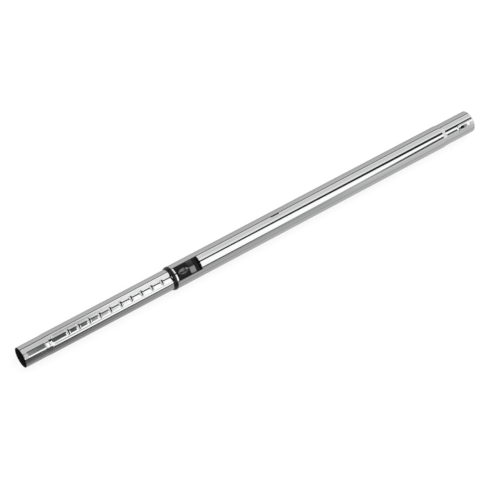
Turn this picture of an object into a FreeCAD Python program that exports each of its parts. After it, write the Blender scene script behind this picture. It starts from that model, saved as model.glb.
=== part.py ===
import FreeCAD, Part
import math
import os

from FreeCAD import Vector

# Telescopic vacuum wand, in millimetres. It lies along X with its mouth at -X and its socket at +X.
# The thumb slider and the notched track face +Z. While it is built, the tubes' axis is the X axis and
# x = 0 is the front of the black collar. The last step moves it onto the ground, centred along X.

# Tubes
inner_diameter = 34.0
inner_wall = 0.7
guide_gap = 1.3            # radial room between the two tubes
outer_wall = 0.7
spigot_step = 0.4          # how far the mouth is drawn in, each side
spigot_length = 36.0
spigot_cone = 10.0
mouth_lead_length = 4.5
mouth_lead_step = 0.35
socket_bore = 35.0
socket_length = 55.4
neck_length = 7.5
neck_room = 60.0           # free barrel behind the inner tube when it is pushed right in
edge_break = 0.2

# Track of notches
track_width = 12.8
track_depth = 0.6
track_lead = 30.0          # from the closed lower end to the first notch
track_tail = 20.0          # from the last notch to the upper end
cone_to_track = 1.0
notch_pitch = 18.5
closing_reach = 222.0      # wanted travel from the modelled length to the shortest
opening_reach = 148.0      # wanted travel from the modelled length to the longest
notch_depth = 1.2
notch_end_room = 0.5

# Guide sleeve with its collar
collar_length = 6.5
collar_lip_length = 3.5
collar_lip_wall = 0.6
collar_overhang = 0.5      # how far the collar stands over the outer tube
collar_notch_width = 6.5
collar_notch_length = 2.0
sleeve_length = 76.0
key_side_room = 0.3
key_floor_room = 0.2
channel_skin = 0.42        # sleeve wall left under the slider's rails
snap_block_length = 2.0
snap_block_sink = 0.1
stop_gap = 0.6

# Window and thumb slider
window_land = 2.75         # strip of tube between the collar and the window
window_length = 43.0
window_width = 22.2
window_corner = 0.8
slider_travel = 4.8
slider_end_gap = 0.7
slider_side_gap = 0.3
slider_height = 2.2        # above the outer tube
slider_corner = 0.6
slider_wall = 0.8
dish_front = 2.0
dish_depth = 0.9
rib_length = 9.0
rib_ledge = 6.55           # from the raised rib to the slider's rear end
rib_height = 3.2           # above the outer tube
rail_overlap = 1.3         # how far the rails reach under the window's edges
bar_length = 2.0
bed_width = 13.2

# Lock roller
roller_diameter = 4.0
roller_length = 9.0
roller_setback = 14.05     # from the window's rear end to the roller
roller_side_room = 0.2
roller_end_room = 0.25
roller_seat_room = 0.15
roller_lift_room = 0.25
notch_room = 0.3           # notch radius over roller radius

# Return springs
spring_wire = 0.35
spring_diameter = 2.2
spring_turns = 13
spring_length = 16.4       # at rest, squeezed
spring_room = 0.1
lug_length = 2.0

# Rear bush and its lip seal
bush_length = 20.0
bush_clearance = 0.1
seal_setback = 9.0
seal_width = 4.0
seal_height = 0.55
lug_hole_setback = 4.5
lug_hole_diameter = 5.0

# Openings in the outer tube
latch_setback = 17.9       # from the socket's end to the middle of the latch hole
latch_length = 19.0
latch_width = 5.0
latch_turn = 15.5          # degrees about X, from +Z towards -Y
channel_length = 33.0
channel_width = 10.0
channel_height = 0.7
slit_setback = 185.5       # from the collar to the slit
slit_length = 16.0
slit_width = 2.6
slit_turn = -34.5

# Fits
running_clearance = 0.08
seat_clearance = 0.04
part_gap = 0.05

# Radii that follow from the sizes above
inner_radius = inner_diameter / 2
inner_bore = inner_radius - inner_wall
outer_bore = inner_radius + guide_gap
outer_radius = outer_bore + outer_wall
spigot_radius = inner_radius - spigot_step
socket_inside = socket_bore / 2
socket_radius = socket_inside + outer_wall
collar_radius = outer_radius + collar_overhang
sleeve_bore = inner_radius + running_clearance
sleeve_radius = outer_bore - seat_clearance
track_floor = inner_radius - track_depth
notch_floor = track_floor - notch_depth
channel_floor = sleeve_bore + channel_skin
rail_bottom = channel_floor + running_clearance
rail_top = outer_bore - running_clearance
plate_top = outer_radius + part_gap
slider_bottom = plate_top + part_gap
slider_top = outer_radius + slider_height
rib_top = outer_radius + rib_height
cutter_reach = 2 * collar_radius

# Half widths across the slider
window_half = window_width / 2
slider_half = window_half - slider_side_gap
leg_inside = slider_half - slider_wall
rail_outside = window_half + rail_overlap
bed_half = bed_width / 2
spring_y = (bed_half + leg_inside) / 2

# Places along X
window_front = collar_length + window_land
window_rear = window_front + window_length
slider_front = window_front + slider_end_gap
slider_rear = window_rear - slider_end_gap - slider_travel
block_front = window_rear - seat_clearance - snap_block_length
plate_front = slider_front + slider_end_gap
plate_rear = block_front - slider_travel - slider_side_gap
roller_x = window_rear - roller_setback
steps_to_close = round(closing_reach / notch_pitch)
steps_to_open = round(opening_reach / notch_pitch)
closing_stroke = steps_to_close * notch_pitch
opening_stroke = steps_to_open * notch_pitch
first_notch = roller_x - closing_stroke
last_notch = roller_x + opening_stroke
track_start = first_notch - track_lead
track_end = last_notch + track_tail
cone_end = track_start - cone_to_track
cone_start = cone_end - spigot_cone
mouth = cone_start - spigot_length
bush_front = sleeve_length + stop_gap + opening_stroke
inner_rear = bush_front + bush_length
neck_start = inner_rear + closing_stroke + neck_room
neck_end = neck_start + neck_length
socket_end = neck_end + socket_length
lug_rear = plate_rear - bar_length - spring_length
lug_front = lug_rear - lug_length

# Lock roller positions: clear of the track when released, down in a notch when locked
roller_radius = roller_diameter / 2
notch_radius = roller_radius + notch_room
notch_centre = notch_floor + notch_radius
notch_length = roller_length + 2 * notch_end_room
released_height = track_floor + roller_lift_room + roller_radius
locked_height = notch_floor + roller_seat_room + roller_radius
roller_drop = released_height - locked_height
ramp_angle = math.atan2(roller_drop, slider_travel)


def rod(radius, x0, x1):
    return Part.makeCylinder(radius, x1 - x0, Vector(x0, 0, 0), Vector(1, 0, 0))


def ring(inside, outside, x0, x1):
    return rod(outside, x0, x1).cut(rod(inside, x0, x1))


def block(x0, x1, y0, y1, z0, z1):
    return Part.makeBox(x1 - x0, y1 - y0, z1 - z0, Vector(x0, y0, z0))


def cross_pin(radius, x, z, length):
    return Part.makeCylinder(radius, length, Vector(x, -length / 2, z), Vector(0, 1, 0))


def turned(points):
    corners = [Vector(x, 0, radius) for x, radius in points]
    outline = Part.makePolygon(corners + corners[:1])
    return Part.Face(outline).revolve(Vector(0, 0, 0), Vector(1, 0, 0), 360)


def stadium(x0, x1, width):
    half = width / 2
    middle = block(x0 + half, x1 - half, -half, half, 0, cutter_reach)
    ends = [
        Part.makeCylinder(half, cutter_reach, Vector(x, 0, 0))
        for x in (x0 + half, x1 - half)
    ]
    return middle.fuse(ends).removeSplitter()


def rounded_box(x0, x1, half, corner):
    box = block(x0, x1, -half, half, 0, cutter_reach)
    upright = [edge for edge in box.Edges if edge.BoundBox.ZLength > cutter_reach / 2]
    return box.makeFillet(corner, upright)


def turned_about_axis(shape, degrees):
    shape.rotate(Vector(0, 0, 0), Vector(1, 0, 0), degrees)
    return shape


def both_sides(shape):
    return [shape, shape.mirror(Vector(0, 0, 0), Vector(0, 1, 0))]


def notch_places():
    count = steps_to_close + steps_to_open + 1
    return [first_notch + step * notch_pitch for step in range(count)]


def track_cutter(offset):
    groove = stadium(track_start - offset, track_end + offset, track_width + 2 * offset)
    return groove.cut(rod(track_floor - offset, track_start - track_width, track_end + track_width))


def notch_cutters(offset):
    return [
        cross_pin(notch_radius + offset, x, notch_centre, notch_length + 2 * offset)
        for x in notch_places()
    ]


def inner_tube():
    outside = turned([
        (mouth, 0),
        (mouth, spigot_radius - mouth_lead_step),
        (mouth + mouth_lead_length, spigot_radius),
        (cone_start, spigot_radius),
        (cone_end, inner_radius),
        (inner_rear, inner_radius),
        (inner_rear, 0),
    ])
    inside = turned([
        (mouth, 0),
        (mouth, spigot_radius - mouth_lead_step - inner_wall),
        (mouth + mouth_lead_length, spigot_radius - inner_wall),
        (cone_start, spigot_radius - inner_wall),
        (cone_end, inner_bore),
        (inner_rear, inner_bore),
        (inner_rear, 0),
    ])
    outside = outside.cut([track_cutter(0)] + notch_cutters(0))
    inside = inside.cut([track_cutter(inner_wall)] + notch_cutters(inner_wall))
    lug_holes = cross_pin(lug_hole_diameter / 2, bush_front + lug_hole_setback, 0, 2 * outer_radius)
    return outside.cut([inside, lug_holes])


def latch_channel(radius, inset):
    long_slot = stadium(
        socket_end - channel_length + inset,
        socket_end + channel_width,
        channel_width - 2 * inset,
    )
    raised = long_slot.common(rod(radius + channel_height, neck_end, socket_end))
    return turned_about_axis(raised, latch_turn)


def outer_tube():
    outside = turned([
        (collar_length, 0),
        (collar_length, outer_radius - edge_break),
        (collar_length + edge_break, outer_radius),
        (neck_start, outer_radius),
        (neck_end, socket_radius),
        (socket_end - edge_break, socket_radius),
        (socket_end, socket_radius - edge_break),
        (socket_end, 0),
    ])
    inside = turned([
        (collar_length, 0),
        (collar_length, outer_bore),
        (neck_start, outer_bore),
        (neck_end, socket_inside),
        (socket_end, socket_inside),
        (socket_end, 0),
    ])
    outside = outside.fuse(latch_channel(socket_radius, 0))
    inside = inside.fuse(latch_channel(socket_inside, outer_wall))
    window = rounded_box(window_front, window_rear, window_half, window_corner)
    latch_middle = socket_end - latch_setback
    latch_hole = stadium(latch_middle - latch_length / 2, latch_middle + latch_length / 2, latch_width)
    slit_front = collar_length + slit_setback
    slit = stadium(slit_front, slit_front + slit_length, slit_width)
    return outside.cut([
        inside,
        window,
        turned_about_axis(latch_hole, latch_turn),
        turned_about_axis(slit, slit_turn),
    ])


def guide_sleeve():
    lip_radius = sleeve_bore + collar_lip_wall
    body = turned([
        (0, sleeve_bore),
        (0, lip_radius),
        (collar_lip_length, collar_radius),
        (collar_length, collar_radius),
        (collar_length, sleeve_radius),
        (sleeve_length, sleeve_radius),
        (sleeve_length, sleeve_bore),
    ])
    channel_front = plate_front - slider_side_gap
    channel_rear = block_front - part_gap
    channel_outside = rail_outside + slider_side_gap
    channel = block(channel_front, channel_rear, bed_half, channel_outside, 0, cutter_reach)
    channel = channel.cut(rod(channel_floor, channel_front, channel_rear))
    slot_half_length = roller_radius + roller_side_room
    slot_half_width = roller_length / 2 + roller_end_room
    roller_slot = block(
        roller_x - slot_half_length, roller_x + slot_half_length,
        -slot_half_width, slot_half_width, 0, cutter_reach,
    )
    lip_notch = stadium(-collar_notch_width, collar_notch_length, collar_notch_width)
    body = body.cut(both_sides(channel) + [roller_slot, lip_notch])

    key_front = track_start + closing_stroke + stop_gap
    key_rear = roller_x - slot_half_length - bar_length
    key = stadium(key_front, key_rear, track_width - 2 * key_side_room)
    key = key.common(ring(track_floor + key_floor_room, sleeve_bore + channel_skin, key_front, key_rear))
    snap_half = window_half - window_corner
    snap_block = block(block_front, window_rear - seat_clearance, -snap_half, snap_half, 0, cutter_reach)
    snap_block = snap_block.common(
        ring(channel_floor, outer_radius - snap_block_sink, block_front, window_rear)
    )
    lug = block(lug_front, lug_rear, bed_half, leg_inside - slider_side_gap, 0, cutter_reach)
    lug = lug.common(ring(sleeve_bore, spring_radius() + spring_diameter / 4, lug_front, lug_rear))
    return body.fuse([key, snap_block] + both_sides(lug)).removeSplitter()


def spring_radius():
    return channel_floor + spring_room + spring_diameter / 2


def slider_plate():
    def strip(x0, x1, y0, y1, bottom, top):
        return block(x0, x1, y0, y1, 0, cutter_reach).common(ring(bottom, top, x0, x1))

    bar_bottom = sleeve_radius + spring_room
    rear_bar = plate_rear - bar_length
    pieces = both_sides(strip(plate_front, plate_rear, leg_inside, rail_outside, rail_bottom, rail_top))
    pieces += both_sides(strip(plate_front, plate_rear, leg_inside, slider_half, rail_bottom, plate_top))
    pieces += both_sides(
        strip(rear_bar, plate_rear, bed_half + slider_side_gap, slider_half, rail_bottom, plate_top)
    )
    pieces.append(
        strip(plate_front, plate_front + bar_length, -slider_half, slider_half, bar_bottom, plate_top)
    )
    pieces.append(strip(rear_bar, plate_rear, -slider_half, slider_half, bar_bottom, plate_top))
    return pieces[0].fuse(pieces[1:]).removeSplitter()


def roller_pocket():
    half_width = roller_length / 2 + roller_end_room
    touch_height = released_height + roller_radius / math.cos(ramp_angle) + spring_room
    flat_height = released_height + roller_radius + roller_lift_room
    slope = math.tan(ramp_angle)
    front = roller_x - slider_travel - roller_radius - roller_side_room
    rear = roller_x + roller_radius + 2 * roller_side_room
    flat_start = roller_x + (flat_height - touch_height) / slope
    outline = [
        (front, 0),
        (front, touch_height - slope * (roller_x - front)),
        (flat_start, flat_height),
        (rear, flat_height),
        (rear, 0),
    ]
    corners = [Vector(x, -half_width, z) for x, z in outline]
    face = Part.Face(Part.makePolygon(corners + corners[:1]))
    return face.extrude(Vector(0, 2 * half_width, 0))


def release_slider():
    outline = rounded_box(slider_front, slider_rear, slider_half, slider_corner)
    body = outline.common(ring(slider_bottom, slider_top, slider_front, slider_rear))
    rib_rear = slider_rear - rib_ledge
    rib_front = rib_rear - rib_length
    rib = block(rib_front, rib_rear, -slider_half, slider_half, 0, cutter_reach)
    rib = rib.common(ring(slider_bottom, rib_top, rib_front, rib_rear))
    body = body.fuse(rib).removeSplitter()

    dish_start = slider_front + dish_front
    dish_length = rib_front - dish_depth - dish_start
    dish_radius = dish_length ** 2 / (8 * dish_depth) + dish_depth / 2
    dish = cross_pin(
        dish_radius, dish_start + dish_length / 2, slider_top - dish_depth + dish_radius, window_width
    )
    spring_top = spring_radius() + spring_diameter / 2 + part_gap
    tunnel_front = lug_front - slider_travel - slider_side_gap
    tunnel = block(tunnel_front, plate_rear, bed_half - slider_side_gap, leg_inside, 0, cutter_reach)
    tunnel = tunnel.common(rod(spring_top, tunnel_front, plate_rear))
    return body.cut([dish, roller_pocket()] + both_sides(tunnel))


def lock_roller():
    roller = cross_pin(roller_radius, roller_x, released_height, roller_length)
    rims = [edge for edge in roller.Edges if edge.Closed]
    return roller.makeChamfer(edge_break, rims)


def return_spring(side):
    coil_radius = (spring_diameter - spring_wire) / 2
    coil_length = spring_length - spring_wire - 2 * part_gap
    path = Part.makeHelix(coil_length / spring_turns, coil_length, coil_radius)
    section = Part.Wire(Part.Circle(Vector(coil_radius, 0, 0), Vector(0, 1, 0), spring_wire / 2).toShape())
    coil = Part.Wire(path).makePipeShell([section], True, True)
    coil.rotate(Vector(0, 0, 0), Vector(0, 1, 0), 90)
    height = math.sqrt(spring_radius() ** 2 - spring_y ** 2)
    coil.translate(Vector(lug_rear + part_gap + spring_wire / 2, side * spring_y, height))
    return coil


def rear_bush():
    bush_bore = inner_radius + seat_clearance
    bush_radius = outer_bore - bush_clearance
    seal_floor = bush_radius - seal_height
    seal_front = bush_front + seal_setback
    body = turned([
        (bush_front, bush_bore),
        (bush_front, bush_radius - edge_break),
        (bush_front + edge_break, bush_radius),
        (seal_front, bush_radius),
        (seal_front, seal_floor),
        (seal_front + seal_width, seal_floor),
        (seal_front + seal_width, bush_radius),
        (inner_rear - edge_break, bush_radius),
        (inner_rear, bush_radius - edge_break),
        (inner_rear, bush_bore),
    ])
    lug_radius = lug_hole_diameter / 2 - part_gap
    lugs = cross_pin(lug_radius, bush_front + lug_hole_setback, 0, 2 * outer_radius)
    lugs = lugs.common(ring(inner_bore, bush_bore + edge_break, bush_front, inner_rear))
    return body.fuse(lugs.Solids)


def lip_seal():
    seal_floor = outer_bore - bush_clearance - seal_height + seat_clearance
    front = bush_front + seal_setback + part_gap
    rear = front + seal_width - 2 * part_gap
    lip = outer_bore - part_gap
    shoulder = (seal_floor + lip) / 2
    return turned([
        (front, seal_floor),
        (front, shoulder),
        (rear - seal_height, lip),
        (rear, lip),
        (rear, seal_floor),
    ])


pieces = {
    "outer_tube": outer_tube(),
    "guide_sleeve": guide_sleeve(),
    "slider_plate": slider_plate(),
    "release_slider": release_slider(),
    "lock_roller": lock_roller(),
    "return_spring_left": return_spring(1),
    "return_spring_right": return_spring(-1),
    "inner_tube": inner_tube(),
    "rear_bush": rear_bush(),
    "lip_seal": lip_seal(),
}

os.makedirs("parts", exist_ok=True)
onto_the_ground = Vector(-(mouth + socket_end) / 2, 0, collar_radius)
for name, shape in pieces.items():
    shape.translate(onto_the_ground)
    shape.exportStep(f"parts/{name}.step")
    print(name, len(shape.Solids), "solid", shape.isValid(), round(shape.Volume, 1), "mm3")
print("length", round(socket_end - mouth, 2), "roller drop", round(roller_drop, 4))
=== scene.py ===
import math

import bmesh
import bpy
from mathutils import Matrix, Vector


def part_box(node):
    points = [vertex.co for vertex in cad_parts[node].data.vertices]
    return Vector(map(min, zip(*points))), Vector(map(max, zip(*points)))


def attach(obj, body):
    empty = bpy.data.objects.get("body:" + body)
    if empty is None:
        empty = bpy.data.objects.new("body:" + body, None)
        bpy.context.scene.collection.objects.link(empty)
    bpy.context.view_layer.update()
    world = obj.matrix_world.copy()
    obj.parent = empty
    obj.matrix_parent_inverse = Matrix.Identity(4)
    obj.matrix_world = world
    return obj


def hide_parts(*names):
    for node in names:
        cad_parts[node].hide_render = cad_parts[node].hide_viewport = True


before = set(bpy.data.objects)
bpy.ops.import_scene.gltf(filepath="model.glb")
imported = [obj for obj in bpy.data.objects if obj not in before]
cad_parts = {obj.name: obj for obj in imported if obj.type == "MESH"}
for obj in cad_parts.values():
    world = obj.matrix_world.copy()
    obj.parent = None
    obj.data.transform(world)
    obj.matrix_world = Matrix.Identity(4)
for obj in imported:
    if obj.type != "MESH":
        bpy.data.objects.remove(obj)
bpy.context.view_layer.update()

# Telescopic vacuum wand: chrome tubes, black collar and thumb slider. Metres, the tubes lie along X.
mm = 0.001
tubeWall = 0.7 * mm                            # of both tubes
tubeSharpDegrees = 55                          # edges sharper than this stay sharp
mouldedSharpDegrees = 40
nudge = 0.01 * mm                              # short step that shows how steep a form is
scene = bpy.context.scene
scene.view_settings.view_transform = "Standard"

sleeveLow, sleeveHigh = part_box("guide_sleeve")
outerLow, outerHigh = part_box("outer_tube")
innerLow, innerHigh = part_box("inner_tube")
axisZ = (sleeveLow[2] + sleeveHigh[2]) / 2     # height of the tubes' common axis
print("frame:", len(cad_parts), "nodes, axis at", round(axisZ / mm, 2), "mm")


# Node formulas: a Rule is one value in a node tree, so that a shape or a pattern reads as arithmetic
class Rule:
    def __init__(self, tree, socket):
        self.tree = tree
        self.socket = socket

    def op(self, operation, *others):
        node = self.tree.nodes.new("ShaderNodeMath")
        node.operation = operation
        for place, value in enumerate((self,) + others):
            feed(self.tree, node.inputs[place], value)
        return Rule(self.tree, node.outputs[0])

    def __add__(self, other):
        return self.op("ADD", other)

    def __sub__(self, other):
        return self.op("SUBTRACT", other)

    def __mul__(self, other):
        return self.op("MULTIPLY", other)

    def __truediv__(self, other):
        return self.op("DIVIDE", other)

    def flipped(self):                         # 1 - value
        return (self * -1.0) + 1.0

    def between(self, low, high):              # low where the value is 0, high where it is 1
        node = self.tree.nodes.new("ShaderNodeMix")
        for place, value in enumerate((self, None, low, high)):
            if value is not None:
                feed(self.tree, node.inputs[place], value)
        return Rule(self.tree, node.outputs[0])

    def ramp(self, low, high):                 # 0 at low, 1 at high, eased between
        node = self.tree.nodes.new("ShaderNodeMapRange")
        node.interpolation_type = "SMOOTHSTEP"
        for place, value in enumerate((self, low, high)):
            feed(self.tree, node.inputs[place], value)
        return Rule(self.tree, node.outputs[0])

    def bump(self, middle, half, soft):        # 1 within half of the middle, eased to 0 over soft
        return (self - middle).op("ABSOLUTE").ramp(half + soft, half)


def feed(tree, socket, value):
    if isinstance(value, Rule):
        tree.links.new(value.socket, socket)
    else:
        socket.default_value = value


# Materials
def startMaterial(name):
    material = bpy.data.materials.new(name)
    material.use_nodes = True
    tree = material.node_tree
    return material, tree, tree.nodes["Principled BSDF"]


def objectPlace(tree):
    return tree.nodes.new("ShaderNodeTexCoord").outputs["Object"]


def grain(tree, scale, detail, stretch=(1, 1, 1)):
    mapping = tree.nodes.new("ShaderNodeMapping")
    mapping.inputs["Scale"].default_value = stretch
    tree.links.new(objectPlace(tree), mapping.inputs["Vector"])
    noise = tree.nodes.new("ShaderNodeTexNoise")
    noise.inputs["Scale"].default_value = scale
    noise.inputs["Detail"].default_value = detail
    tree.links.new(mapping.outputs["Vector"], noise.inputs["Vector"])
    return Rule(tree, noise.outputs["Fac"])


def tint(tree, factor, dark, light):
    mix = tree.nodes.new("ShaderNodeMix")
    mix.data_type = "RGBA"
    feed(tree, mix.inputs["Factor"], factor)
    mix.inputs["A"].default_value = (*dark, 1)
    mix.inputs["B"].default_value = (*light, 1)
    return mix.outputs["Result"]


def relief(tree, shader, height, distance):
    bump = tree.nodes.new("ShaderNodeBump")
    bump.inputs["Distance"].default_value = distance
    feed(tree, bump.inputs["Height"], height)
    tree.links.new(bump.outputs["Normal"], shader.inputs["Normal"])


def chromePlate():
    look = {
        "dark": (0.41, 0.411, 0.415),
        "light": (0.45, 0.451, 0.455),
        "edgeOn": (0.6, 0.6, 0.6, 1),          # plate is greyer where it is seen edge on
        "polish": 0.035,
        "haze": 0.035,
        "lineHaze": 0.02,
        "lineShare": 0.004,
        "waveHeight": 0.06 * mm,
    }
    material, tree, shader = startMaterial("chromePlate")
    drawLines = grain(tree, 900, 2, (0.012, 1, 1))        # faint lines left by drawing the tube
    clouds = grain(tree, 18, 4)
    tree.links.new(tint(tree, clouds, look["dark"], look["light"]), shader.inputs["Base Color"])
    waves = grain(tree, 30, 1, (0.25, 1, 1))
    rough = clouds * look["haze"] + drawLines * look["lineHaze"] + look["polish"]
    feed(tree, shader.inputs["Roughness"], rough)
    shader.inputs["Metallic"].default_value = 1.0
    shader.inputs["Specular Tint"].default_value = look["edgeOn"]
    relief(tree, shader, waves + drawLines * look["lineShare"], look["waveHeight"])
    return material


# The tubes' inside: dull bare steel, its colour darkened to near black as painted shade of the tube's depth
def steelWithPaintedShade():
    look = {
        "dark": (0.006, 0.006, 0.006),
        "light": (0.02, 0.019, 0.018),
        "rough": 0.7,
        "patchy": 0.2,
        "shine": 0.15,
        "streakHeight": 0.1 * mm,
    }
    material, tree, shader = startMaterial("steelWithPaintedShade")
    streaks = grain(tree, 260, 4, (0.06, 1, 1))
    tree.links.new(tint(tree, streaks, look["dark"], look["light"]), shader.inputs["Base Color"])
    feed(tree, shader.inputs["Roughness"], streaks * look["patchy"] + look["rough"])
    shader.inputs["Specular IOR Level"].default_value = look["shine"]
    relief(tree, shader, streaks, look["streakHeight"])
    return material


def mouldedBlack(name, gloss, shine, texture):
    look = {"dark": (0.0025, 0.0025, 0.0025), "light": (0.006, 0.006, 0.0062), "patchy": 0.12}
    material, tree, shader = startMaterial(name)
    spark = grain(tree, 2600, 2)
    clouds = grain(tree, 120, 3)
    tree.links.new(tint(tree, clouds, look["dark"], look["light"]), shader.inputs["Base Color"])
    feed(tree, shader.inputs["Roughness"], clouds * look["patchy"] + gloss)
    shader.inputs["Specular IOR Level"].default_value = shine
    relief(tree, shader, spark, texture)
    return material


def plainMoulding(name, dark, light, rough):
    look = {"patchy": 0.15, "texture": 0.02 * mm}
    material, tree, shader = startMaterial(name)
    clouds = grain(tree, 160, 4)
    tree.links.new(tint(tree, clouds, dark, light), shader.inputs["Base Color"])
    feed(tree, shader.inputs["Roughness"], clouds * look["patchy"] + rough)
    relief(tree, shader, grain(tree, 2200, 2), look["texture"])
    return material


def groundSteel():
    look = {"dark": (0.42, 0.42, 0.43), "light": (0.6, 0.6, 0.61), "rough": 0.2, "patchy": 0.2}
    material, tree, shader = startMaterial("groundSteel")
    scratches = grain(tree, 1500, 3, (1, 0.08, 1))
    tree.links.new(tint(tree, scratches, look["dark"], look["light"]), shader.inputs["Base Color"])
    feed(tree, shader.inputs["Roughness"], scratches * look["patchy"] + look["rough"])
    shader.inputs["Metallic"].default_value = 1.0
    return material


chrome = chromePlate()
insidePaintedShade = steelWithPaintedShade()
collarBlack = mouldedBlack("collarBlack", 0.1, 0.2, 0.01 * mm)
sliderBlack = mouldedBlack("sliderBlack", 0.3, 0.09, 0.02 * mm)
sliderPolished = mouldedBlack("sliderPolished", 0.09, 0.95, 0.003 * mm)
plateGrey = plainMoulding("plateGrey", (0.27, 0.27, 0.28), (0.36, 0.36, 0.37), 0.5)
sealRubber = plainMoulding("sealRubber", (0.03, 0.03, 0.03), (0.06, 0.06, 0.06), 0.7)
rollerSteel = groundSteel()
print("materials: chrome, tube inside, three blacks, grey, rubber, ground steel")


# Pieces
def addPiece(name, mesh, *materials):
    for material in materials:
        mesh.materials.append(material)
    piece = bpy.data.objects.new(name, mesh)
    scene.collection.objects.link(piece)
    return piece


def applyModifiers(piece, sharpDegrees):
    bpy.context.view_layer.update()
    evaluated = piece.evaluated_get(bpy.context.evaluated_depsgraph_get())
    mesh = bpy.data.meshes.new_from_object(evaluated)
    piece.modifiers.clear()
    piece.data = mesh
    mesh.name = piece.name
    mesh.shade_smooth()
    mesh.set_sharp_from_angle(angle=math.radians(sharpDegrees))


def giveWall(piece):                           # the sheet is the outside; slot 1 is the inside's material
    solidify = piece.modifiers.new("wall", "SOLIDIFY")
    solidify.thickness = tubeWall
    solidify.offset = -1
    solidify.use_even_offset = True
    solidify.material_offset = 1
    solidify.material_offset_rim = 1
    applyModifiers(piece, tubeSharpDegrees)


# Inner tube: spigot, cone, pressed track and its row of notches, all one radius rule over x and angle
innerTube = {
    "Stations Per Notch": 16,
    "Columns": 111,
    "Station Crowding": 0.65,                  # how strongly the mesh gathers at the notches
    "Column Crowding": 1.0,                    # at the track
    "Shoulder Crowding": 0.4,                  # and there at its two shoulders
    "Radius": 17.0 * mm,
    "Spigot Radius": 16.6 * mm,
    "Spigot Length": 36.0 * mm,
    "Cone Length": 10.0 * mm,
    "Lead Length": 8.0 * mm,
    "Lead Step": 0.15 * mm,
    "Track Setback": 46.6 * mm,                # from the mouth; its soft end leaves room for the sleeve's key
    "Track Length": 420.4 * mm,
    "Track Half Width": 6.4 * mm,
    "Track Depth": 0.6 * mm,
    "Track Shoulder": 0.45 * mm,
    "First Notch": 77.0 * mm,                  # from the mouth
    "Notch Pitch": 18.5 * mm,
    "Notch Count": 21,
    "Notch Radius": 2.3 * mm,
    "Notch Depth": 1.2 * mm,
    "Notch Half Length": 5.0 * mm,
    "Notch Shoulder": 0.3 * mm,
}


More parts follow.
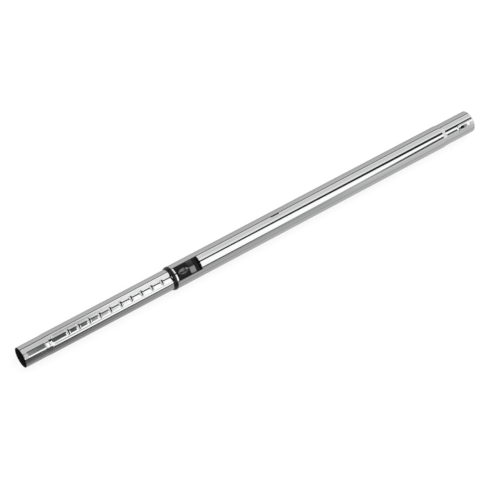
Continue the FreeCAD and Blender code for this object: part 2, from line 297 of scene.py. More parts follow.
def notchedTubeTree(material):
    tree = bpy.data.node_groups.new("notchedTube", "GeometryNodeTree")
    tree.interface.new_socket("Geometry", in_out="OUTPUT", socket_type="NodeSocketGeometry")
    entry = tree.nodes.new("NodeGroupInput")
    identifiers = {}
    for name in ("Front", "Rear", "Axis Height", *innerTube):
        socket = tree.interface.new_socket(name, in_out="INPUT", socket_type="NodeSocketFloat")
        identifiers[name] = socket.identifier
    size = {name: Rule(tree, entry.outputs[name]) for name in identifiers}

    grid = tree.nodes.new("GeometryNodeMeshGrid")
    grid.inputs["Size X"].default_value = 1.0
    grid.inputs["Size Y"].default_value = 1.0
    pitchFront = ((size["First Notch"] * -1.0) / size["Notch Pitch"]).op("FLOOR")
    pitchRear = ((size["Rear"] - size["Front"] - size["First Notch"]) / size["Notch Pitch"]).op("CEIL")
    pitchSpan = pitchRear - pitchFront
    feed(tree, grid.inputs["Vertices X"], pitchSpan * size["Stations Per Notch"] + 1.0)
    feed(tree, grid.inputs["Vertices Y"], size["Columns"])

    split = tree.nodes.new("ShaderNodeSeparateXYZ")
    tree.links.new(tree.nodes.new("GeometryNodeInputPosition").outputs[0], split.inputs[0])
    along = Rule(tree, split.outputs[0]) + 0.5
    around = Rule(tree, split.outputs[1]) * math.tau

    step = along * pitchSpan + pitchFront
    crowded = step - (step * math.tau).op("SINE") * size["Station Crowding"] / math.tau
    fromMouth = (crowded * size["Notch Pitch"] + size["First Notch"]).op("MAXIMUM", 0.0)
    fromMouth = fromMouth.op("MINIMUM", size["Rear"] - size["Front"])
    angle = around - around.op("SINE") * size["Column Crowding"]
    angle = angle + (around * 2.0).op("SINE") * size["Shoulder Crowding"] / 2.0
    topAngle = angle.op("MAXIMUM", -math.pi / 2).op("MINIMUM", math.pi / 2)
    across = (topAngle.op("SINE") * size["Radius"]).op("ABSOLUTE")

    flare = fromMouth.ramp(size["Spigot Length"], size["Spigot Length"] + size["Cone Length"])
    lead = fromMouth.ramp(0.0, size["Lead Length"]).flipped() * size["Lead Step"]
    plain = flare * (size["Radius"] - size["Spigot Radius"]) + size["Spigot Radius"] - lead

    trackHalf = size["Track Length"] / 2.0
    fromMiddle = (fromMouth - size["Track Setback"] - trackHalf).op("ABSOLUTE")
    pastEnd = (fromMiddle - trackHalf + size["Track Half Width"]).op("MAXIMUM", 0.0)
    fromTrack = (pastEnd * pastEnd + across * across).op("SQRT") - size["Track Half Width"]
    shoulder = size["Track Shoulder"]
    track = fromTrack.ramp(shoulder * -1.0, shoulder).flipped() * size["Track Depth"]

    steps = (fromMouth - size["First Notch"]) / size["Notch Pitch"]
    offset = steps.op("WRAP", 0.5, -0.5) * size["Notch Pitch"]
    arch = (size["Notch Radius"] * size["Notch Radius"] - offset * offset).op("MAXIMUM", 0.0).op("SQRT")
    notchFloor = size["Radius"] - size["Track Depth"] - size["Notch Depth"]
    leastCosine = 0.3                          # keeps the notches' straight floor finite at the tube's sides
    notch = (notchFloor + size["Notch Radius"] - arch) / topAngle.op("COSINE").op("MAXIMUM", leastCosine)
    endRise = across.ramp(size["Notch Half Length"] - size["Notch Shoulder"], size["Notch Half Length"])
    outOfRow = steps.op("LESS_THAN", -0.5) + steps.op("GREATER_THAN", size["Notch Count"] - 0.5)
    clearOfTube = 0.2                          # share of the radius that lifts a notch out of the wall
    notch = notch + (endRise + outOfRow) * size["Radius"] * clearOfTube
    radius = (plain - track).op("SMOOTH_MIN", notch, size["Notch Shoulder"])

    place = tree.nodes.new("ShaderNodeCombineXYZ")
    feed(tree, place.inputs[0], fromMouth + size["Front"])
    feed(tree, place.inputs[1], radius * angle.op("SINE"))
    feed(tree, place.inputs[2], radius * angle.op("COSINE") + size["Axis Height"])
    shape = tree.nodes.new("GeometryNodeSetPosition")
    tree.links.new(grid.outputs["Mesh"], shape.inputs["Geometry"])
    tree.links.new(place.outputs[0], shape.inputs["Position"])
    seam = tree.nodes.new("GeometryNodeMergeByDistance")
    seam.inputs["Distance"].default_value = 0.002 * mm
    realize = tree.nodes.new("GeometryNodeRealizeInstances")
    finish = tree.nodes.new("GeometryNodeSetMaterial")
    finish.inputs["Material"].default_value = material
    leave = tree.nodes.new("NodeGroupOutput")
    chain = (shape, seam, realize, finish, leave)
    for before, after in zip(chain, chain[1:]):
        tree.links.new(before.outputs[0], after.inputs[0])
    return tree, identifiers


def makeInnerTube():
    tree, identifiers = notchedTubeTree(chrome)
    piece = addPiece("notchedInnerTube", bpy.data.meshes.new("notchedInnerTube"))
    modifier = piece.modifiers.new("notchedTube", "NODES")
    modifier.node_group = tree
    places = {"Front": innerLow[0], "Rear": innerHigh[0], "Axis Height": axisZ}
    for name, value in {**places, **innerTube}.items():
        modifier[identifiers[name]] = float(value)
    applyModifiers(piece, tubeSharpDegrees)
    piece.data.materials.clear()
    piece.data.materials.append(chrome)
    piece.data.materials.append(insidePaintedShade)
    giveWall(piece)
    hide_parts("inner_tube")
    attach(piece, "inner")
    return piece


# Outer tube: a fine sheet wrapped round the axis, pressed in at the neck, raised at the latch, with cut-outs
outerTube = {
    "radius": 19.0 * mm,
    "socketRadius": 18.2 * mm,
    "neckStart": 520.1 * mm,                   # from the collar's end of the tube
    "neckLength": 7.5 * mm,
    "edgeBreak": 0.25 * mm,
    "window": {"start": 2.75 * mm, "length": 43.0 * mm, "width": 22.2 * mm, "corner": 0.8 * mm, "turn": 0.0},
    "slit": {"start": 185.5 * mm, "length": 16.0 * mm, "width": 2.6 * mm, "corner": 1.3 * mm, "turn": 34.5},
    "latchHole": {
        "start": 555.6 * mm, "length": 19.0 * mm, "width": 5.0 * mm, "corner": 2.5 * mm, "turn": -15.5,
    },
    "channel": {
        "start": 550.0 * mm, "length": 60.0 * mm, "width": 10.0 * mm, "corner": 5.0 * mm, "turn": -15.5,
    },
    "channelHeight": 0.7 * mm,
    "crownDip": 0.2,                           # the channel's crown is flatter than the tube, by this share
    "channelShoulder": 0.5 * mm,
    "fineStep": 0.7 * mm,
    "coarseStep": 9.0 * mm,
    "fineDegrees": 1.25,
    "coarseDegrees": 5.0,
    "fineReach": 55.0,                         # degrees each side of the top
    "fineMargin": 2.0 * mm,                    # around the cut-outs
    "snapShare": 0.6,                          # of a fine step: points this close move onto an outline
}


def eased(value, low, high):
    share = min(max((value - low) / (high - low), 0.0), 1.0)
    return share * share * (3 - 2 * share)


def fromOpening(opening, x, angle):            # distance outside its rounded outline, negative inside
    half = opening["length"] / 2
    corner = opening["corner"]
    turn = min(max(angle - math.radians(opening["turn"]), -math.pi / 2), math.pi / 2)
    pastX = abs(x - opening["start"] - half) - half + corner
    pastY = abs(math.sin(turn)) * outerTube["radius"] - opening["width"] / 2 + corner
    return math.hypot(max(pastX, 0), max(pastY, 0)) + min(max(pastX, pastY), 0) - corner


def outerRadius(x, angle, length):
    neckEnd = outerTube["neckStart"] + outerTube["neckLength"]
    drop = outerTube["radius"] - outerTube["socketRadius"]
    radius = outerTube["radius"] - drop * eased(x, outerTube["neckStart"], neckEnd)
    shoulder = outerTube["channelShoulder"]
    channel = outerTube["channel"]
    fromMiddle = abs(math.sin(angle - math.radians(channel["turn"]))) * outerTube["radius"]
    dip = outerTube["crownDip"]
    flat = 1 - dip + dip * min(fromMiddle / (channel["width"] / 2), 1) ** 2
    radius += outerTube["channelHeight"] * flat * eased(-fromOpening(channel, x, angle), -shoulder, shoulder)
    fromEnd = min(x, length - x)
    return radius - outerTube["edgeBreak"] * (1 - eased(fromEnd, 0, 2 * outerTube["edgeBreak"]))


def spread(marks, fineZones, fine, coarse):    # sorted places that hit every mark, finer inside the zones
    places = []
    slack = 1e-6                               # so that rounding adds no step
    for low, high in zip(marks, marks[1:]):
        middle = (low + high) / 2
        isFine = any(start <= middle <= end for start, end in fineZones)
        count = max(1, math.ceil((high - low) / (fine if isFine else coarse) - slack))
        places += [low + (high - low) * step / count for step in range(count)]
    return places + [marks[-1]]


def makeOuterTube():
    length = outerHigh[0] - outerLow[0]
    openings = [outerTube["window"], outerTube["slit"], outerTube["latchHole"]]
    margin = outerTube["fineMargin"]
    zones = [(0, margin), (outerTube["neckStart"] - margin, length)]
    zones += [(item["start"] - margin, item["start"] + item["length"] + margin) for item in openings]
    marks = {0.0, length}
    for low, high in zones:
        marks |= {low, min(high, length)}
    for item in openings:
        marks |= {item["start"], item["start"] + item["length"]}
    stations = spread(sorted(marks), zones, outerTube["fineStep"], outerTube["coarseStep"])

    reach = outerTube["fineReach"]
    turns = {-180.0, -reach, 0.0, reach, 180.0}
    for item in openings:
        edge = math.degrees(math.asin(item["width"] / 2 / outerTube["radius"]))
        turns |= {item["turn"] - edge, item["turn"] + edge}
    degrees = spread(sorted(turns), [(-reach, reach)], outerTube["fineDegrees"], outerTube["coarseDegrees"])
    angles = [math.radians(turn) for turn in degrees[:-1]]

    sheet = bmesh.new()
    rows = []
    snap = outerTube["snapShare"] * outerTube["fineStep"]
    leastSteep = 0.2
    for station in stations:
        row = []
        for column in angles:
            x = station
            angle = column
            for item in openings:
                gap = fromOpening(item, x, angle)
                if 0 < abs(gap) < snap:        # pull the nearest points onto the outline
                    slopeX = (fromOpening(item, x + nudge, angle) - gap) / nudge
                    slopeY = (fromOpening(item, x, angle + nudge / outerTube["radius"]) - gap) / nudge
                    steep = max(math.hypot(slopeX, slopeY) ** 2, leastSteep)
                    x -= gap * slopeX / steep
                    angle -= gap * slopeY / steep / outerTube["radius"]
            radius = outerRadius(x, angle, length)
            place = (outerLow[0] + x, radius * math.sin(angle), axisZ + radius * math.cos(angle))
            row.append((sheet.verts.new(place), x, angle))
        rows.append(row)
    for front, rear in zip(rows, rows[1:]):
        for column in range(len(angles)):
            following = (column + 1) % len(angles)
            corners = (front[column], front[following], rear[following], rear[column])
            middleX = sum(corner[1] for corner in corners) / 4
            middleAngle = math.atan2(
                sum(math.sin(corner[2]) for corner in corners), sum(math.cos(corner[2]) for corner in corners)
            )
            if all(fromOpening(item, middleX, middleAngle) > 0 for item in openings):
                sheet.faces.new([corner[0] for corner in corners])
    loose = [vert for vert in sheet.verts if not vert.link_faces]
    bmesh.ops.delete(sheet, geom=loose, context="VERTS")
    mesh = bpy.data.meshes.new("socketedOuterTube")
    sheet.to_mesh(mesh)
    sheet.free()
    mesh.flip_normals()
    piece = addPiece("socketedOuterTube", mesh, chrome, insidePaintedShade)
    giveWall(piece)
    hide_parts("outer_tube")
    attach(piece, "outer")
    return piece


# Thumb slider: a thin cap with a polished dish and a raised rib, hollow over the roller and the springs
thumbSlider = {
    "bottom": 19.1 * mm,                       # radii about the tubes' axis
    "top": 21.2 * mm,
    "ribFront": 20.5 * mm,                     # the rib rises to the rear
    "ribTop": 22.2 * mm,
    "ribLength": 9.0 * mm,
    "ribSetback": 6.55 * mm,                   # from the rear end
    "ribSlope": 0.5 * mm,
    "dishSetback": 2.0 * mm,                   # from the front end
    "dishDepth": 1.1 * mm,
    "dishAcross": 15.0 * mm,                   # its radius from side to side
    "dishRim": 0.1 * mm,
    "corner": 0.8 * mm,
    "edge": 0.45 * mm,
    "wall": 0.8 * mm,
    "roof": 0.6 * mm,                          # thinner than the wall, clear of the roller
    "rimShare": 1.2,                           # of the wall: where the roof starts
    "polishedFrom": 0.98,                      # share of the rib's full height that is polished
    "snapShare": 0.5,                          # of a coarse step: points this close move onto the dish's edge
    "fineStep": 0.09 * mm,
    "coarseStep": 0.4 * mm,
}


def roundedPlan(x, y, length, half):           # a grid point moved into the outline, and its depth inside
    corner = thumbSlider["corner"]
    pastX = abs(x - length / 2) - length / 2 + corner
    pastY = abs(y) - half + corner
    if pastX <= 0 or pastY <= 0:
        return x, y, corner - max(pastX, pastY)
    pull = max(pastX, pastY) / math.hypot(pastX, pastY)
    x -= math.copysign(pastX * (1 - pull), x - length / 2)
    y -= math.copysign(pastY * (1 - pull), y)
    return x, y, corner - max(pastX, pastY)


def sliderTops(x, y, length):                  # heights of the plain top and of the dish, and the rib's share
    size = thumbSlider
    ribRear = length - size["ribSetback"]
    ribFront = ribRear - size["ribLength"]
    slope = size["ribSlope"] / 2
    rib = eased(x, ribFront - slope, ribFront + slope) - eased(x, ribRear - slope, ribRear + slope)
    rise = min(max((x - ribFront) / size["ribLength"], 0), 1)
    ribRadius = size["ribFront"] + (size["ribTop"] - size["ribFront"]) * rise
    radius = size["top"] + (ribRadius - size["top"]) * rib
    plain = math.sqrt(radius ** 2 - y ** 2)

    dishLength = ribFront - size["dishDepth"] - size["dishSetback"]
    dishRadius = dishLength ** 2 / (8 * size["dishDepth"]) + size["dishDepth"] / 2
    fromMiddle = min(abs(x - size["dishSetback"] - dishLength / 2), dishRadius)
    dish = size["top"] - size["dishDepth"] + dishRadius - math.sqrt(dishRadius ** 2 - fromMiddle ** 2)
    return plain, dish + y ** 2 / (2 * size["dishAcross"]), rib


def ontoDishOutline(x, y, length):             # a grid point close to the dish's outline is moved onto it
    leastSteep = 0.05
    snap = thumbSlider["snapShare"] * thumbSlider["coarseStep"]
    for _ in range(2):
        plain, dish, _ = sliderTops(x, y, length)
        plainX, dishX, _ = sliderTops(x + nudge, y, length)
        plainY, dishY, _ = sliderTops(x, y + nudge, length)
        gap = plain - dish
        slopeX = (plainX - dishX - gap) / nudge
        slopeY = (plainY - dishY - gap) / nudge
        steep = max(math.hypot(slopeX, slopeY), leastSteep)
        if abs(gap) / steep < snap:
            x -= gap * slopeX / steep ** 2
            y -= gap * slopeY / steep ** 2
    return x, y


def dishSide(x, y, length):                    # 1 in the dish, -1 outside, 0 on its outline
    plain, dish, _ = sliderTops(x, y, length)
    return 0 if abs(plain - dish) < nudge else math.copysign(1, plain - dish)


def isPolished(x, y, length):                  # the dish and the top of the rib are
    plain, dish, rib = sliderTops(x, y, length)
    return dish < plain or rib > thumbSlider["polishedFrom"]


def sliderHeights(x, y, inside, length):       # top and underside
    size = thumbSlider
    plain, dish, _ = sliderTops(x, y, length)
    blend = max(size["dishRim"] - abs(plain - dish), 0) / size["dishRim"]
    top = min(plain, dish) - blend ** 2 * size["dishRim"] / 4

    bottom = math.sqrt(size["bottom"] ** 2 - y ** 2)
    hollow = max(top - size["roof"], bottom)
    under = bottom + (hollow - bottom) * eased(inside, size["wall"], size["rimShare"] * size["wall"])
    toEdge = max(size["edge"] - inside, 0)
    top -= size["edge"] - math.sqrt(size["edge"] ** 2 - toEdge ** 2)
    return top, under


def makeThumbSlider():
    size = thumbSlider
    low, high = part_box("release_slider")
    length = high[0] - low[0]
    half = high[1]
    rim = size["rimShare"] * size["wall"]
    ribRear = length - size["ribSetback"]
    ribFront = ribRear - size["ribLength"]
    zones = [(0, rim), (length - rim, length)]
    zones += [(place - size["ribSlope"], place + size["ribSlope"]) for place in (ribFront, ribRear)]
    along = spread(sorted(end for zone in zones for end in zone), zones, size["fineStep"], size["coarseStep"])
    edgeZones = [(-half, rim - half), (half - rim, half)]
    across = spread([-half, rim - half, 0, half - rim, half], edgeZones, size["fineStep"], size["coarseStep"])

    cap = bmesh.new()
    tops, unders, sides = [], [], []
    for x in along:
        topRow, underRow, sideRow = [], [], []
        for y in across:
            atX, atY, inside = roundedPlan(x, y, length, half)
            if inside > rim and atX < ribFront - size["ribSlope"]:
                atX, atY = ontoDishOutline(atX, atY, length)
            top, under = sliderHeights(atX, atY, inside, length)
            topRow.append(cap.verts.new((low[0] + atX, atY, axisZ + top)))
            underRow.append(cap.verts.new((low[0] + atX, atY, axisZ + under)))
            sideRow.append(dishSide(atX, atY, length))
        tops.append(topRow)
        unders.append(underRow)
        sides.append(sideRow)
    lastX = len(along) - 1
    lastY = len(across) - 1
    for i in range(lastX):
        for j in range(lastY):
            ring = ((i, j), (i + 1, j), (i + 1, j + 1), (i, j + 1))
            front, left, rear, right = (sides[a][b] for a, b in ring)
            pieces = [ring]
            if front == rear == 0 and left * right < 0:         # the outline runs from corner to corner
                pieces = [ring[:3], ring[2:] + ring[:1]]
            elif left == right == 0 and front * rear < 0:
                pieces = [ring[1:], ring[3:] + ring[:2]]
            for corners in pieces:
                face = cap.faces.new([tops[a][b] for a, b in corners])
                middle = face.calc_center_median()
                atSide = half - abs(middle.y) < size["edge"]
                face.material_index = int(isPolished(middle.x - low[0], middle.y, length) and not atSide)
            cap.faces.new([unders[a][b] for a, b in reversed(ring)])
    border = [(i, 0) for i in range(lastX)] + [(lastX, j) for j in range(lastY)]
    border += [(i, lastY) for i in range(lastX, 0, -1)] + [(0, j) for j in range(lastY, 0, -1)]
    for (a, b), (c, d) in zip(border, border[1:] + border[:1]):
        cap.faces.new((unders[a][b], unders[c][d], tops[c][d], tops[a][b]))
    mesh = bpy.data.meshes.new("thumbSlider")
    cap.to_mesh(mesh)
    cap.free()
    piece = addPiece("thumbSlider", mesh, sliderBlack, sliderPolished)
    applyModifiers(piece, mouldedSharpDegrees)
    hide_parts("release_slider")
    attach(piece, "slider")
    return piece


# Collar: a turned black ring with a notch in its lip, on the front of the sleeve that guides the inner tube
collar = {
    "length": 6.5 * mm,
    "radius": 19.5 * mm,
    "lipRadius": 17.68 * mm,
    "lipLength": 3.5 * mm,
    "bore": 17.08 * mm,
    "sleeveRadius": 18.26 * mm,
    "stub": 0.2 * mm,                          # where the ring meets the sleeve, out of sight
    "boreRound": 0.15 * mm,
    "lipRound": 0.25 * mm,
    "shoulderRound": 1.2 * mm,
    "backRound": 0.4 * mm,
    "roundSteps": 5,
    "notchRadius": 3.25 * mm,
    "notchLength": 2.0 * mm,
    "weld": 0.001 * mm,
    "cutSnap": 1e-7,
    "fineDegrees": 0.75,
    "coarseDegrees": 3.0,
    "fineReach": 15.0,
}


def roundedProfile(corners, steps):            # corners are (x, radius, how far the rounding reaches)
    points = []
    for place, (x, radius, reach) in enumerate(corners):
        here = Vector((x, radius))
        before = Vector(corners[place - 1][:2])
        after = Vector(corners[(place + 1) % len(corners)][:2])
        if reach == 0:
            points.append(here)
            continue
        start = here + (before - here).normalized() * reach
        end = here + (after - here).normalized() * reach
        for step in range(steps + 1):
            share = step / steps
            points.append(start.lerp(here, share).lerp(here.lerp(end, share), share))
    return points


def makeCollar():
    size = collar
    back = size["length"]
    stubEnd = back + size["stub"]
    profile = roundedProfile((
        (0.0, size["bore"], size["boreRound"]),
        (0.0, size["lipRadius"], size["lipRound"]),
        (size["lipLength"], size["radius"], size["shoulderRound"]),
        (back, size["radius"], size["backRound"]),
        (back, size["sleeveRadius"], 0),
        (stubEnd, size["sleeveRadius"], 0),
        (stubEnd, size["bore"], 0),
    ), size["roundSteps"])
    reach = size["fineReach"]
    marks = [-180.0, -reach, 0.0, reach, 180.0]
    turns = spread(marks, [(-reach, reach)], size["fineDegrees"], size["coarseDegrees"])

    work = bmesh.new()
    work.from_mesh(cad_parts["guide_sleeve"].data)
    bmesh.ops.remove_doubles(work, verts=work.verts, dist=size["weld"])
    cutAt = Vector((sleeveLow[0] + stubEnd, 0, 0))
    everything = list(work.verts) + list(work.edges) + list(work.faces)
    bmesh.ops.bisect_plane(
        work, geom=everything, dist=size["cutSnap"], plane_co=cutAt, plane_no=(1, 0, 0), clear_inner=True
    )
    bmesh.ops.bridge_loops(work, edges=[edge for edge in work.edges if edge.is_boundary])

    rings = []
    middle = size["notchRadius"] - size["notchLength"]
    for turn in turns[:-1]:
        angle = math.radians(turn)
        ring = []
        for x, radius in profile:
            y = radius * math.sin(angle)
            notch = 0.0
            if abs(y) < size["notchRadius"] and math.cos(angle) > 0:
                notch = math.sqrt(size["notchRadius"] ** 2 - y ** 2) - middle
            place = (sleeveLow[0] + max(x, notch), y, axisZ + radius * math.cos(angle))
            ring.append(work.verts.new(place))
        rings.append(ring)
    for ring, following in zip(rings, rings[1:] + rings[:1]):
        for k in range(len(profile)):
            work.faces.new((ring[k], ring[k - 1], following[k - 1], following[k]))
    bmesh.ops.recalc_face_normals(work, faces=work.faces)
    mesh = bpy.data.meshes.new("collarAndSleeve")
    work.to_mesh(mesh)
    work.free()
    piece = addPiece("collarAndSleeve", mesh, collarBlack)
    applyModifiers(piece, mouldedSharpDegrees)
    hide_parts("guide_sleeve")
    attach(piece, "outer")
    return piece


innerPiece = makeInnerTube()
print("inner tube:", len(innerPiece.data.polygons), "faces")
outerPiece = makeOuterTube()
print("outer tube:", len(outerPiece.data.polygons), "faces")
sliderPiece = makeThumbSlider()
print("thumb slider:", len(sliderPiece.data.polygons), "faces")
collarPiece = makeCollar()
print("collar and sleeve:", len(collarPiece.data.polygons), "faces")

hiddenFinishes = {
    "slider_plate": plateGrey,
    "rear_bush": plateGrey,
    "lip_seal": sealRubber,
    "lock_roller": rollerSteel,
    "return_spring_left": rollerSteel,
    "return_spring_right": rollerSteel,
}
for node, material in hiddenFinishes.items():
    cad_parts[node].data.materials.clear()
    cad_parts[node].data.materials.append(material)
print("pieces done")


# Studio: white floor, plain even light and a long tent whose panels show in the chrome
studio = {
    "floorSize": 40.0,
    "floorWhite": 0.97,
    "paperGrain": 0.03,
    "shadowShare": 0.18,                       # how much of the floor's brightness the shadow can take
    "paintedShadow": {                                  # painted shadow: the floor's colour darkened at the socket's lower lip, seen in the latch hole
        "alongX": (0.4275, 0.0035, 0.005), "alongY": (-0.0033, 0.002, 0.005), "tone": 0.32,
    },
    "worldLevel": 0.9,
    "tentRadius": 2.6,
    "tentReach": 9.0,
    "tentDegrees": 90.0,
    "tentFolds": 48,
    "apronNear": 0.03,                         # the apron on the floor starts this far from the wand
    "lampPower": 60.0,
    "lampPlace": (0.4, 1.0, 3.5),
    "lampSize": (3.0, 2.0),
}
# What the chrome mirrors: panels of the tent, in degrees from straight up (+ is to -Y) and metres along X
tentPaint = {
    "upperLevels": (1.18, 1.76, 1.3),          # over the mouth, the rest of the inner tube, the outer tube
    "upperSteps": ((0.48, 0.62), (0.80, 0.95)),
    "upperGlow": {"degrees": (-42, -26), "levels": (0.15, 0.5)},     # beside the gap: inner, outer tube
    "upperEdge": {"degrees": (-50, -68), "level": 0.25},      # and at its far side
    "whiteLevel": 2.25,
    "lowLevels": (0.2, 0.87, 1.1),             # low side, from the mouth's end to the socket's
    "lowSteps": ((0.25, 0.9), (1.3, 1.65)),
    "lowGlows": (-0.2, 0.45),                  # its change just under the white panel
    "lowGlowReach": (40.0, 8.0),
    "horizon": {"degrees": (-79.0, -83.0), "level": 1.0},        # even strip at the far side's foot
    "lamp": {"place": (-0.135, 0.065, 0.05), "level": 4.2},      # past the panels at the mouth's end
    "flag": {"place": (-0.22, 0.14, 0.08), "level": 0.1},        # dark, beside that lamp
    "leftSteps": (-0.18, -0.25),
    "leftLevel": 1.3,                          # past the lamp
    "right": {"degrees": (0.0, 50.0, 10.0), "level": 1.6},       # past them at the socket's end
    "room": {                                  # dark, behind the camera
        "place": (-2.0, 0.75, 0.3), "degrees": (0.0, 34.0, 9.0), "level": 0.04,
    },
    "beyond": {                                # around and past that room
        "steps": (-0.6, -1.0), "degrees": (40.0, 85.0), "levels": (1.5, 0.5),
    },
    "panelEnds": (0.27, 2.15),
    "panelFades": (0.08, 0.15),
    "panelSofts": (3.0, 1.0),                  # where the upper and the low panel meet the white one
    "lip": {                                   # greyer, over the mouth's rim
        "steps": (0.27, 0.19), "ends": (0.135, 0.10), "level": 1.3, "gapFade": 0.6,
    },
    "gapMiddles": (-11.0, -10.0),              # dark gap between the upper and the white panel
    "gapHalves": (6.0, 10.5),
    "gapSoft": (1.5, -1.0),
    "gapWidens": (0.75, 1.7),
    "wedge": {                                 # dark, over the front of the inner tube
        "top": -21.0, "topSoft": 2.0, "low": 31.0, "narrowLow": 20.0, "lowSoft": 3.0,
        "starts": (0.3, 0.37), "narrows": (0.385, 0.41), "ends": (0.48, 0.68),
    },
    "wedgeShades": (0.72, 0.89, 0.93),         # over the mouth, the spigot and the track
    "gapShades": (0.86, 0.985),                # in the wedge and past it
    "whiteEdges": (45.5, 60.5, 45.5),          # lower edge of the white panel: spigot, inner tube, outer tube
    "whiteEdgeSteps": ((0.375, 0.40), (0.80, 0.90)),
    "whiteEdgeBend": {"start": 0.95, "reach": 0.86, "drop": 34.0},
    "whiteLine": {                             # dark, along the white panel's lower edge
        "widths": (9.5, 18.0), "softs": (1.5, 3.0), "shade": 0.95,
        "faint": (1.33, 0.03, 0.35), "ends": (1.885, 1.91),
    },
    "topGap": {                                # dark, low on the far side: spigot, rest
        "middle": -77.5, "halves": (6.5, 4.2), "soft": 1.5, "shade": 0.94,
    },
}
apronPaint = {
    "farLevels": (0.26, 0.74, 0.84),           # by the mouth, by the collar, by the socket
    "steps": ((-0.42, 0.08), (0.1, 0.5)),
    "nearLevels": (0.7, 1.13, 1.2),
    "fadeEnd": 0.15,
}


def backgroundSeen(tree):                      # 1 for the rays that show the background itself
    path = tree.nodes.new("ShaderNodeLightPath")
    seen = Rule(tree, path.outputs["Is Camera Ray"])
    for kind in ("Is Glossy Ray", "Is Transmission Ray"):
        seen = seen.op("MAXIMUM", Rule(tree, path.outputs[kind]))
    return seen


def makeFloor():
    material, tree, shader = startMaterial("whiteFloor")
    tone = studio["floorWhite"]
    paper = grain(tree, 3, 2)
    split = tree.nodes.new("ShaderNodeSeparateXYZ")
    tree.links.new(objectPlace(tree), split.inputs[0])
    alongX, alongY = (Rule(tree, split.outputs[axis]) for axis in (0, 1))
    # painted shadow: in a small spot by the socket's lower lip the floor's colour is darkened and it shows no
    # glow
    paintedShadow = studio["paintedShadow"]
    inPaintedShadow = alongX.bump(*paintedShadow["alongX"]) * alongY.bump(*paintedShadow["alongY"])
    speckle = studio["paperGrain"]
    colour = tint(tree, inPaintedShadow * (1 - speckle) + paper * speckle, (tone,) * 3, (paintedShadow["tone"],) * 3)
    tree.links.new(colour, shader.inputs["Base Color"])
    shader.inputs["Roughness"].default_value = 0.9
    shader.inputs["Specular IOR Level"].default_value = 0.0
    glow = tree.nodes.new("ShaderNodeEmission")
    mix = tree.nodes.new("ShaderNodeMixShader")
    share = inPaintedShadow.between(studio["shadowShare"], 1.0)
    feed(tree, mix.inputs[0], backgroundSeen(tree) * share.flipped())
    tree.links.new(shader.outputs[0], mix.inputs[1])
    tree.links.new(glow.outputs[0], mix.inputs[2])
    tree.links.new(mix.outputs[0], tree.nodes["Material Output"].inputs["Surface"])
    half = studio["floorSize"] / 2
    mesh = bpy.data.meshes.new("studioFloor")
    corners = [(-half, -half, 0), (half, -half, 0), (half, half, 0), (-half, half, 0)]
    mesh.from_pydata(corners, [], [(0, 1, 2, 3)])
    floor = addPiece("studioFloor", mesh, material)


def showInChromeOnly(panel):
    panel.visible_camera = False
    panel.visible_diffuse = False
    panel.visible_shadow = False


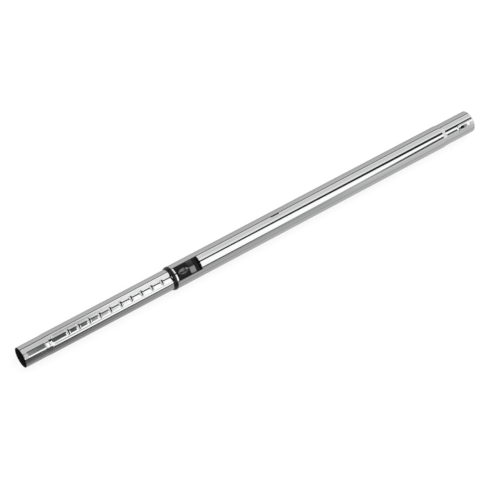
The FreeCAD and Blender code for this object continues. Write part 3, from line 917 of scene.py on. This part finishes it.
def makeTent():
    material, tree, shader = startMaterial("tentPanels")
    tree.nodes.remove(shader)
    split = tree.nodes.new("ShaderNodeSeparateXYZ")
    tree.links.new(objectPlace(tree), split.inputs[0])
    alongX = Rule(tree, split.outputs[0])
    height = Rule(tree, split.outputs[2]) - axisZ
    degrees = (Rule(tree, split.outputs[1]) * -1.0).op("ARCTAN2", height) * math.degrees(1)

    paint = tentPaint
    bend = paint["whiteEdgeBend"]
    spigotEdge, innerEdge, outerEdge = paint["whiteEdges"]
    spigotStep, outerStep = (alongX.ramp(*step) for step in paint["whiteEdgeSteps"])
    bent = (alongX - bend["start"]).op("MAXIMUM", 0.0).op("MINIMUM", bend["reach"])
    whiteEdge = spigotStep.between(spigotEdge, innerEdge)
    whiteEdge = outerStep.between(whiteEdge, bent * bent * -bend["drop"] + outerEdge)
    past = degrees - whiteEdge
    gapShare = alongX.ramp(*paint["gapWidens"])
    gapMiddle = gapShare.between(*paint["gapMiddles"])

    mouthStep, tubeStep = (alongX.ramp(*step) for step in paint["upperSteps"])
    overMouth, overInner, overOuter = paint["upperLevels"]
    upper = tubeStep.between(mouthStep.between(overMouth, overInner), overOuter)
    side = paint["upperGlow"]
    upper = upper + degrees.ramp(*side["degrees"]) * tubeStep.between(*side["levels"])
    side = paint["upperEdge"]
    upper = upper + degrees.ramp(*side["degrees"]) * side["level"]
    upper = alongX.bump(*paint["flag"]["place"]).between(upper, paint["flag"]["level"])
    nearStep, farStep = (alongX.ramp(*step) for step in paint["lowSteps"])
    lowMouth, lowMiddle, lowSocket = paint["lowLevels"]
    low = farStep.between(nearStep.between(lowMouth, lowMiddle), lowSocket)
    underWhite = past.ramp(*paint["lowGlowReach"])
    low = low * (underWhite * farStep.between(*paint["lowGlows"]) + 1.0)

    gap = (degrees - gapMiddle).op("ABSOLUTE") - gapShare.between(*paint["gapHalves"])
    gap = gap.ramp(*paint["gapSoft"])
    wedge = paint["wedge"]
    wedgeLow = alongX.ramp(*wedge["narrows"]).between(wedge["low"], wedge["narrowLow"])
    inWedge = (degrees - wedge["top"]).ramp(-wedge["topSoft"], wedge["topSoft"])
    inWedge = inWedge * (degrees - wedgeLow).ramp(wedge["lowSoft"], -wedge["lowSoft"])
    pastWedge = alongX.ramp(*wedge["ends"])
    mouthShade, spigotShade, trackShade = paint["wedgeShades"]
    wedgeShade = alongX.ramp(*wedge["starts"]).between(mouthShade, spigotShade)
    wedgeShade = alongX.ramp(*wedge["narrows"]).between(wedgeShade, trackShade)
    inWedge = inWedge * pastWedge.flipped() * wedgeShade
    gap = gap * pastWedge.between(*paint["gapShades"])
    lip = paint["lip"]
    overLip = alongX.ramp(*lip["steps"]) * alongX.ramp(*lip["ends"]).flipped()
    gap = gap * (overLip * lip["gapFade"]).flipped()
    line = paint["whiteLine"]
    nearSoft, farSoft = line["softs"]
    pastLine = past - farStep.between(*line["widths"])
    whiteLine = past.ramp(-nearSoft, nearSoft) * pastLine.ramp(farSoft, -farSoft)
    whiteLine = whiteLine * alongX.bump(*line["faint"]).flipped() * line["shade"]
    whiteLine = whiteLine * alongX.ramp(*line["ends"]).flipped()
    line = paint["topGap"]
    topGap = (degrees - line["middle"]).op("ABSOLUTE") - spigotStep.between(*line["halves"])
    topGap = topGap.ramp(line["soft"], 0.0) * line["shade"]

    start, end = paint["panelEnds"]
    startFade, endFade = paint["panelFades"]
    pastLeft = alongX.ramp(start, start - startFade)
    pastRight = alongX.ramp(end, end + endFade)
    white = overLip.between(paint["whiteLevel"], lip["level"])
    white = alongX.ramp(*paint["leftSteps"]).between(white, paint["leftLevel"])
    white = alongX.bump(*paint["lamp"]["place"]).between(white, paint["lamp"]["level"])
    upperSoft, lowSoft = paint["panelSofts"]
    level = (degrees - gapMiddle).ramp(-upperSoft, upperSoft).between(upper, white)
    level = past.ramp(-lowSoft, lowSoft).between(level, low)
    beyond = paint["beyond"]
    sideways = degrees.op("ABSOLUTE").ramp(*beyond["degrees"]).between(*beyond["levels"])
    level = alongX.ramp(*beyond["steps"]).between(level, sideways)
    shade = inWedge.op("MAXIMUM", whiteLine) * pastLeft.flipped()
    shade = gap.op("MAXIMUM", shade) * pastRight.flipped()
    level = level * shade.flipped()
    side = paint["right"]
    level = (pastRight * degrees.bump(*side["degrees"])).between(level, side["level"])
    level = level * topGap.flipped()
    side = paint["horizon"]
    level = degrees.ramp(*side["degrees"]).between(level, side["level"])
    room = paint["room"]
    level = (alongX.bump(*room["place"]) * degrees.bump(*room["degrees"])).between(level, room["level"])
    glow = tree.nodes.new("ShaderNodeEmission")
    feed(tree, glow.inputs["Strength"], level)
    tree.links.new(glow.outputs[0], tree.nodes["Material Output"].inputs["Surface"])

    sideAngle = math.radians(studio["tentDegrees"])
    reach = studio["tentReach"]
    cloth = bmesh.new()
    rows = []
    for fold in range(studio["tentFolds"] + 1):
        angle = sideAngle * (2 * fold / studio["tentFolds"] - 1)
        y = -studio["tentRadius"] * math.sin(angle)
        z = axisZ + studio["tentRadius"] * math.cos(angle)
        rows.append([cloth.verts.new((x, y, z)) for x in (-reach, reach)])
    for row, following in zip(rows, rows[1:]):
        cloth.faces.new((row[0], row[1], following[1], following[0]))
    mesh = bpy.data.meshes.new("studioTent")
    cloth.to_mesh(mesh)
    cloth.free()
    showInChromeOnly(addPiece("studioTent", mesh, material))


def makeApron():                               # the low side of the chrome greys off away from the wand
    material, tree, shader = startMaterial("apronPanel")
    tree.nodes.remove(shader)
    split = tree.nodes.new("ShaderNodeSeparateXYZ")
    tree.links.new(objectPlace(tree), split.inputs[0])
    alongX = Rule(tree, split.outputs[0])
    away = Rule(tree, split.outputs[1]) * -1.0
    mouthStep, socketStep = (alongX.ramp(*step) for step in apronPaint["steps"])
    levels = []
    for atMouth, atCollar, atSocket in (apronPaint["nearLevels"], apronPaint["farLevels"]):
        levels.append(socketStep.between(mouthStep.between(atMouth, atCollar), atSocket))
    level = away.ramp(studio["apronNear"], apronPaint["fadeEnd"]).between(*levels)
    glow = tree.nodes.new("ShaderNodeEmission")
    feed(tree, glow.inputs["Strength"], level)
    tree.links.new(glow.outputs[0], tree.nodes["Material Output"].inputs["Surface"])
    near = -studio["apronNear"]
    edge = -studio["tentRadius"]
    reach = studio["tentReach"]
    mesh = bpy.data.meshes.new("studioApron")
    corners = [(-reach, edge, mm), (reach, edge, mm), (reach, near, mm), (-reach, near, mm)]
    mesh.from_pydata(corners, [], [(0, 1, 2, 3)])
    showInChromeOnly(addPiece("studioApron", mesh, material))


def makeLight():
    world = bpy.data.worlds.new("studioWorld")
    world.use_nodes = True
    tree = world.node_tree
    background = tree.nodes["Background"]
    background.inputs["Color"].default_value = (1, 1, 1, 1)
    level = studio["worldLevel"]
    feed(tree, background.inputs["Strength"], backgroundSeen(tree) * (1 - level) + level)
    scene.world = world
    lamp = bpy.data.lights.new("softLamp", "AREA")
    lamp.shape = "RECTANGLE"
    lamp.size, lamp.size_y = studio["lampSize"]
    lamp.energy = studio["lampPower"]
    holder = bpy.data.objects.new("softLamp", lamp)
    place = Vector(studio["lampPlace"])
    holder.location = place
    holder.rotation_euler = (-place).to_track_quat("-Z", "Y").to_euler()
    holder.visible_glossy = False
    scene.collection.objects.link(holder)


# Camera: a long lens, high over the mouth's end, rolled so that the wand rises to the right
view = {
    "back": (-0.3875, -0.0450, 0.9208),        # from the aim towards the camera
    "aim": (-27.35 * mm, 0.0, axisZ),
    "aimBelow": 2.8 * mm,                      # the picture's middle lies this far below the wand's axis
    "distance": 3.089,
    "riseDegrees": 27.9,
    "lensPixels": 2000.0,
    "imagePixels": 485.0,
    "sensor": 36.0,
    "farClip": 100.0,
}


def makeCamera():
    lens = bpy.data.cameras.new("photoCamera")
    lens.sensor_width = view["sensor"]
    lens.lens = view["lensPixels"] / view["imagePixels"] * view["sensor"]
    lens.clip_end = view["farClip"]
    camera = bpy.data.objects.new("photoCamera", lens)
    back = Vector(view["back"]).normalized()
    wand = Vector((1, 0, 0))
    wand = (wand - back * wand.dot(back)).normalized()
    over = back.cross(wand)
    rise = math.radians(view["riseDegrees"])
    right = wand * math.cos(rise) - over * math.sin(rise)
    up = wand * math.sin(rise) + over * math.cos(rise)
    turn = Matrix((right, up, back)).transposed().to_4x4()
    aim = Vector(view["aim"]) - over * view["aimBelow"]
    camera.matrix_world = Matrix.Translation(aim + back * view["distance"]) @ turn
    scene.collection.objects.link(camera)
    scene.camera = camera


makeFloor()
makeTent()
makeApron()
makeLight()
makeCamera()
print("studio done")
